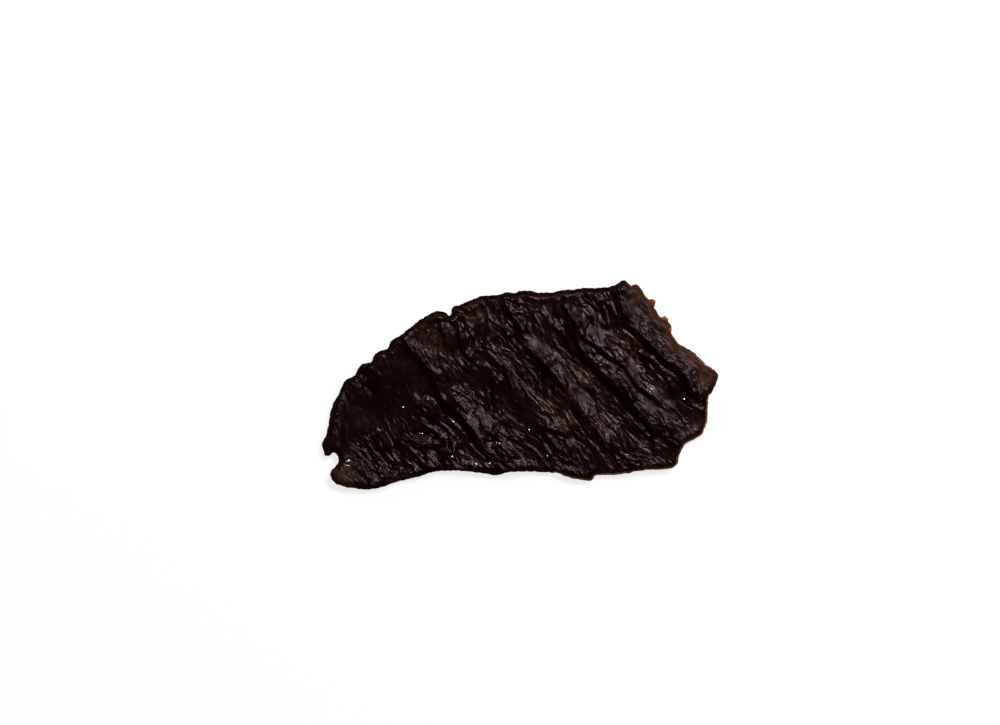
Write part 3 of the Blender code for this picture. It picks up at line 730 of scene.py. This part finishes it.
def shape_slab(bm, ring, tree):
    """Moves the points of the flat solid to their true heights and notes what the skin is like."""
    for name in MARKS:
        bm.verts.layers.float.new(name)
    layers = {name: bm.verts.layers.float[name] for name in MARKS}
    levels = give_thickness(bm)
    bm.normal_update()
    for number, verts in enumerate(levels):
        share = number / (WALL_ROWS + 1)
        x, y = places(verts)
        inward = np.array([tree.find((px, py, 0))[2] for px, py in zip(x, y)])
        low, high, marks = slab_levels(x, y, inward)
        marks["inward"] = inward
        marks["ochre"] = patches(OCHRE, x, y)
        marks["rust"] = patches([(centre, radius, 1) for centre, radius in RUST], x, y) * share
        marks["flange"] = np.maximum(strip(FLANGE, x, y), patches(BROWN_LOBES, x, y))
        # painted glow of light shining through the thin edge, kept to the upper part of the wall
        marks["backlit_glow"] = strip(BACKLIT_GLOW_LINE, x, y) * share**2
        if 0 < share < 1:
            bulge = RIM_BULGE * math.sqrt(1 - (2 * share - 1) ** 2)
            for v in verts:
                outward = sum((f.normal for f in v.link_faces), Vector())
                outward.z = 0
                v.co += outward.normalized() * bulge
        for k, v in enumerate(verts):
            v.co.z = low[k] + share * (high[k] - low[k])
            for name, layer in layers.items():
                v[layer] = marks[name][k]


def strip(kind, x, y):
    """1 on a line, falling to 0 beside it."""
    line, reach = kind
    gap, _ = offset_from(flowing_line(line, LINE_STEP), x, y)
    return np.exp(-((gap / reach) ** 2))


def patches(spots, x, y):
    """The strongest of some round patches at each place, each of them fading outwards."""
    total = np.zeros(x.shape)
    for (cx, cy), radius, strength in spots:
        total = np.maximum(total, strength * np.exp(-((x - cx) ** 2 + (y - cy) ** 2) / radius**2))
    return total


def fit_to_box(bm, low, high):
    """Scales and moves the points so that they fill the given box."""
    points = np.array([v.co for v in bm.verts])
    own_low, own_high = points.min(0), points.max(0)
    scale = (np.array(high) - low) / (own_high - own_low)
    bmesh.ops.translate(bm, verts=bm.verts[:], vec=Vector(-own_low))
    bmesh.ops.scale(bm, verts=bm.verts[:], vec=Vector(scale))
    bmesh.ops.translate(bm, verts=bm.verts[:], vec=Vector(low))


class Signal:
    """A shader socket that can stand in a sum."""

    def __init__(self, finish, socket):
        self.finish = finish
        self.socket = socket

    def size(self):
        return self.math("ABSOLUTE", self)

    def math(self, operation, first, second=0.0):
        return self.finish.node("ShaderNodeMath", {"operation": operation}, {0: first, 1: second})

    def __add__(self, other):
        return self.math("ADD", self, other)

    def __mul__(self, other):
        return self.math("MULTIPLY", self, other)

    def __sub__(self, other):
        return self.math("SUBTRACT", self, other)

    def __rsub__(self, other):
        return self.math("SUBTRACT", other, self)

    __radd__ = __add__
    __rmul__ = __mul__


class Finish:
    """A material under construction."""

    def __init__(self, name):
        self.material = bpy.data.materials.new(name)
        self.material.use_nodes = True
        self.tree = self.material.node_tree
        self.shader = self.tree.nodes["Principled BSDF"]

    def node(self, kind, settings, inputs, out=0):
        made = self.tree.nodes.new(kind)
        for name, value in settings.items():
            setattr(made, name, value)
        for name, value in inputs.items():
            self.feed(made.inputs[name], value)
        return Signal(self, made.outputs[out])

    def feed(self, socket, value):
        if isinstance(value, Signal):
            self.tree.links.new(value.socket, socket)
        else:
            socket.default_value = value

    def set(self, name, value):
        self.feed(self.shader.inputs[name], value)

    def cover(self, share, coating):
        """Lays another shader over a share of the surface."""
        skin = Signal(self, self.shader.outputs[0])
        mixed = self.node("ShaderNodeMixShader", {}, {0: share, 1: skin, 2: coating})
        self.feed(self.tree.nodes["Material Output"].inputs["Surface"], mixed)

    def mark(self, name):
        return self.node("ShaderNodeAttribute", {"attribute_name": name}, {}, out="Fac")

    def noise(self, vector, scale, detail=2.0, rough=0.5):
        inputs = {"Vector": vector, "Scale": scale, "Detail": detail, "Roughness": rough}
        return self.node("ShaderNodeTexNoise", {}, inputs)

    def between(self, value, start, end):
        """0 up to start, 1 from end on, with soft ends."""
        settings = {"interpolation_type": "SMOOTHSTEP"}
        return self.node("ShaderNodeMapRange", settings, {0: value, 1: start, 2: end})

    def mix(self, share, first, second):
        return self.node("ShaderNodeMix", {"data_type": "RGBA"}, {0: share, 6: first, 7: second}, out=2)


def rgb(red, green, blue):
    return (red, green, blue, 1.0)


DARK_SKIN = (rgb(0.011, 0.0008, 0.0014), rgb(0.019, 0.0026, 0.0026))
BROWN_SKIN = (rgb(0.021, 0.0046, 0.0038), rgb(0.042, 0.018, 0.0105))
TORN_FLESH = (rgb(0.012, 0.003, 0.002), rgb(0.04, 0.014, 0.008))
OCHRE_FLESH = rgb(0.27, 0.108, 0.044)
BROWN_FLESH = rgb(0.2, 0.086, 0.048)
# colour of the painted glow of light shining through the thin edge
BACKLIT_GLOW_COLOUR = rgb(0.36, 0.155, 0.058)
RUST_CRUMB = rgb(0.72, 0.24, 0.085)

# Grains of the finish to the metre
BROAD_GRAINS = 120
WET_GRAINS = 420
MOTTLE_GRAINS = 520
OCHRE_GRAINS = 900
SKIN_GRAINS = 1300
FINE_GRAINS = 1500
STREAK_STRETCH = 0.24  # spacing of the streaks across the ridges, as a share of that along them
BUMP_HEIGHT = 0.16 * MM  # height of the finest wrinkles and grains
MATTE = 0.7  # roughness of the torn edge


def liver_finish():
    """Dark glossy skin, brown and ochre where it is thin, and a matte torn edge with a painted amber
    glow of light shining through its thin brink.
    """
    skin = Finish("dried_liver")
    spot = skin.node("ShaderNodeTexCoord", {}, {}, out="Object")
    wrinkled, taut, low = skin.mark("wrinkled"), skin.mark("taut"), skin.mark("low")
    inward, ochre, flange = skin.mark("inward"), skin.mark("ochre"), skin.mark("flange")
    backlit_glow, rust, wet_spot = skin.mark("backlit_glow"), skin.mark("rust"), skin.mark("wet")
    across, along = skin.mark("across"), skin.mark("along")
    flow = skin.node("ShaderNodeCombineXYZ", {}, {0: across, 1: along * STREAK_STRETCH})

    mottle = skin.noise(spot, MOTTLE_GRAINS, 4.0, 0.65)
    broad = skin.noise(spot, BROAD_GRAINS, 3.0)
    fine = skin.noise(spot, FINE_GRAINS, 3.0, 0.6)
    streaks = skin.noise(flow, 1.4, 3.0, 0.55)

    dark = skin.mix(skin.between(broad, 0.35, 0.65), *DARK_SKIN)
    brown = skin.mix(skin.between(mottle, 0.4, 0.65), *BROWN_SKIN)
    pale = low * 0.55 + skin.between(streaks, 0.35, 0.65) * 0.6
    colour = skin.mix(pale * skin.between(broad, 0.3, 0.6), dark, brown)
    speckled = skin.between(mottle, 0.42, 0.6)
    grains = skin.between(skin.noise(spot, OCHRE_GRAINS, 3.0, 0.7), 0.47, 0.62)
    colour = skin.mix(ochre * (0.1 + 0.9 * grains), colour, OCHRE_FLESH)
    browned = flange * (0.45 + 0.55 * speckled)
    rusted = skin.between(rust, 0.25, 0.7) * (0.4 + 0.6 * speckled)
    colour = skin.mix(browned, colour, BROWN_FLESH)
    colour = skin.mix(rusted, colour, RUST_CRUMB)
    skin.set("Base Color", colour)

    satin = 0.19 + 0.12 * streaks + 0.1 * (fine - 0.5) + 0.16 * taut * (1 - 0.8 * low) + 0.2 * flange
    skin.set("Roughness", satin * (1 - 0.68 * wet_spot))
    wet = skin.between(skin.noise(spot, WET_GRAINS, 2.0), 0.5, 0.75)
    skin.set("Coat Weight", wet * skin.between(inward, 1.5, 5.0) * 0.4)
    skin.set("Coat Roughness", 0.09)
    skin.set("Specular Tint", rgb(1.0, 0.7, 0.74))

    wrinkle_bump = skin.noise(flow, 1.9, 3.0, 0.6)
    grain = skin.noise(spot, SKIN_GRAINS, 3.0, 0.6)
    thread = 1 - skin.between((skin.noise(flow, 0.9, 2.0, 0.5) - 0.5).size(), 0.0, 0.13)
    height = wrinkle_bump * (0.25 + 0.75 * wrinkled) + 0.2 * grain + 0.25 * thread * (1 - 0.6 * taut)
    height = height * (1 - 0.9 * wet_spot)
    relief = {"Height": height, "Distance": BUMP_HEIGHT, "Strength": 0.9}
    bump = skin.node("ShaderNodeBump", {}, relief, out="Normal")
    skin.set("Normal", bump)

    edge = 1 - skin.between(inward + 1.2 * (broad - 0.5), 0.6, 1.5)
    torn = skin.mix(skin.between(mottle, 0.4, 0.6), *TORN_FLESH)
    torn = skin.mix(browned, torn, BROWN_FLESH)
    brink = 1 - skin.between(inward + 0.9 * (mottle - 0.5), 0.05, 0.45)
    # painted amber glow of light shining through the thin edge, at its very brink along the line
    torn = skin.mix(backlit_glow * brink * (0.1 + 0.9 * skin.between(broad, 0.35, 0.6)), torn, BACKLIT_GLOW_COLOUR)
    torn = skin.mix(rusted, torn, RUST_CRUMB)
    dull = {"Base Color": torn, "Roughness": MATTE, "Specular IOR Level": 0.0, "Normal": bump}
    skin.cover(edge, skin.node("ShaderNodeBsdfPrincipled", {}, dull))
    return skin.material


def make_slab():
    ring = torn_edge()
    tree = ring_tree(ring)
    bm = flat_slab(ring, tree)
    shape_slab(bm, ring, tree)
    bmesh.ops.scale(bm, verts=bm.verts[:], vec=(MM, MM, MM))
    low, high = cad_box
    fit_to_box(bm, np.array(low), np.array(high))
    bmesh.ops.recalc_face_normals(bm, faces=bm.faces[:])
    mesh = bpy.data.meshes.new("dried_liver_slab")
    bm.to_mesh(mesh)
    bm.free()
    mesh.shade_smooth()
    mesh.materials.append(liver_finish())
    slab = bpy.data.objects.new("dried_liver_slab", mesh)
    bpy.context.scene.collection.objects.link(slab)
    return slab


def table_finish():
    table = Finish("pale_table")
    spot = table.node("ShaderNodeTexCoord", {}, {}, out="Object")
    tone = table.noise(spot, 3.0)
    table.set("Base Color", table.mix(tone, rgb(0.86, 0.86, 0.86), rgb(0.9, 0.9, 0.9)))
    table.set("Roughness", 0.9)
    table.set("Emission Color", rgb(1, 1, 1))
    table.set("Emission Strength", 0.8)
    return table.material


TABLE_REACH = 3  # metres from the middle to each side
TABLE_GAP = 0.05 * MM  # keeps the table's top clear of the slab's flat spots


def make_table():
    bm = bmesh.new()
    bmesh.ops.create_grid(bm, x_segments=1, y_segments=1, size=TABLE_REACH)
    bmesh.ops.translate(bm, verts=bm.verts[:], vec=(0, 0, -TABLE_GAP))
    mesh = bpy.data.meshes.new("table")
    bm.to_mesh(mesh)
    bm.free()
    mesh.materials.append(table_finish())
    table = bpy.data.objects.new("table", mesh)
    bpy.context.scene.collection.objects.link(table)


def add_light(name, width, height, direction, distance, glow):
    """A soft light that faces the slab. Its glow is how bright it looks."""
    light = bpy.data.lights.new(name, "AREA")
    light.shape = "RECTANGLE"
    light.size = width
    light.size_y = height
    light.energy = glow * math.pi * width * height
    lamp = bpy.data.objects.new(name, light)
    lamp.location = Vector(direction).normalized() * distance
    lamp.rotation_euler = Vector(direction).to_track_quat("Z", "Y").to_euler()
    bpy.context.scene.collection.objects.link(lamp)


# The lights: width and height, direction, distance and glow, in metres
LIGHTS = {
    "soft_box": (1.0, 0.38, (0.5, 0.5, 0.87), 1.6, 4.0),
    "top_fill": (1.0, 0.6, (-0.4, 0.9, 0.6), 1.6, 0.8),
    "strip": (0.05, 0.05, (0.3, 0.6, 1.0), 1.5, 260),
}


def light_studio():
    world = bpy.data.worlds.new("studio")
    bpy.context.scene.world = world
    world.use_nodes = True
    background = world.node_tree.nodes["Background"]
    background.inputs["Color"].default_value = rgb(0.9, 0.95, 1.0)
    background.inputs["Strength"].default_value = 0.01
    for name, light in LIGHTS.items():
        add_light(name, *light)


CAMERA_PLACE = (-0.00606, 0.00682, 1.004)  # straight above, in metres
SENSOR_WIDTH = 36
LENS = 118.8  # gives 3.3 picture points to the millimetre, in a picture 1000 points wide


def add_camera():
    lens = bpy.data.cameras.new("camera")
    lens.sensor_width = SENSOR_WIDTH
    lens.lens = LENS
    lens.clip_end = 10
    camera = bpy.data.objects.new("camera", lens)
    camera.location = CAMERA_PLACE
    bpy.context.scene.collection.objects.link(camera)
    bpy.context.scene.camera = camera


slab = make_slab()
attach(slab, "root")
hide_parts("liver_slab")
make_table()
light_studio()
add_camera()
bpy.context.scene.view_settings.view_transform = "Standard"
